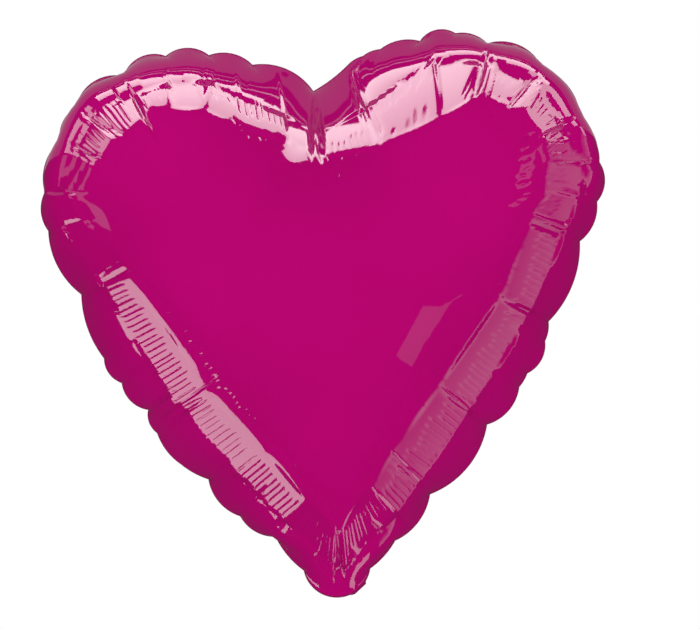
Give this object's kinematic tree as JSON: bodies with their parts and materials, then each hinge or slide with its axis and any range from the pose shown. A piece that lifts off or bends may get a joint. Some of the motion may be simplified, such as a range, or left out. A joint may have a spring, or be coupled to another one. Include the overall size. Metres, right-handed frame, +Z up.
{
  "type": "heart-shaped foil balloon",
  "caption": "Inflated heart-shaped foil balloon with a welded scalloped seam, a fold-away filling tail and a flat self-sealing valve inside.",
  "frame": {"origin": "the neck: the lowest point of the welded seam, at the heart's lower tip, midway between the two panels", "axes": "+X to the balloon's right as its front is looked at, +Y from the front panel to the rear panel, +Z up from the tip to the lobes"},
  "size_m": [0.3781, 0.188, 0.3775],
  "materials": {
    "magenta_foil": "metallised film printed magenta under a clear gloss layer",
    "foil_weld": "heat-welded metallised film, slightly darker and pressed flat",
    "valve_film": "clear polyethylene film, slightly milky"
  },
  "bodies": {
    "envelope": {"front_panel": "magenta_foil", "rear_panel": "magenta_foil", "edge_weld": "foil_weld", "neck_weld": "foil_weld", "valve_throat": "valve_film"},
    "inner_valve": {"valve_front_film": "valve_film", "valve_rear_film": "valve_film", "valve_left_weld": "valve_film", "valve_right_weld": "valve_film"},
    "tail": {"tail_front_leaf": "magenta_foil", "tail_rear_leaf": "magenta_foil", "tail_left_weld": "foil_weld", "tail_right_weld": "foil_weld", "tail_front_liner": "valve_film", "tail_rear_liner": "valve_film"},
    "mouth_front_lip": {"front_lip": "magenta_foil", "front_lip_liner": "valve_film"},
    "mouth_rear_lip": {"rear_lip": "magenta_foil", "rear_lip_liner": "valve_film"}
  },
  "joints": [
    {"name": "tail_fold", "type": "hinge", "parent": "envelope", "child": "tail", "pos_m": [0, 0.0035, 0.0005], "axis": [-1, 0, 0], "range_deg": [0, 144]},
    {"name": "front_lip_open", "type": "hinge", "parent": "tail", "child": "mouth_front_lip", "pos_m": [0, 0.05621, 0.02323], "axis": [-1, 0, 0], "range_deg": [0, 45]},
    {"name": "rear_lip_open", "type": "hinge", "parent": "tail", "child": "mouth_rear_lip", "pos_m": [0, 0.05566, 0.02446], "axis": [1, 0, 0], "range_deg": [0, 45]},
    {"name": "valve_sway", "type": "hinge", "parent": "envelope", "child": "inner_valve", "pos_m": [0, 0, 0.0168], "axis": [1, 0, 0], "range_deg": [-18, 18]}
  ]
}
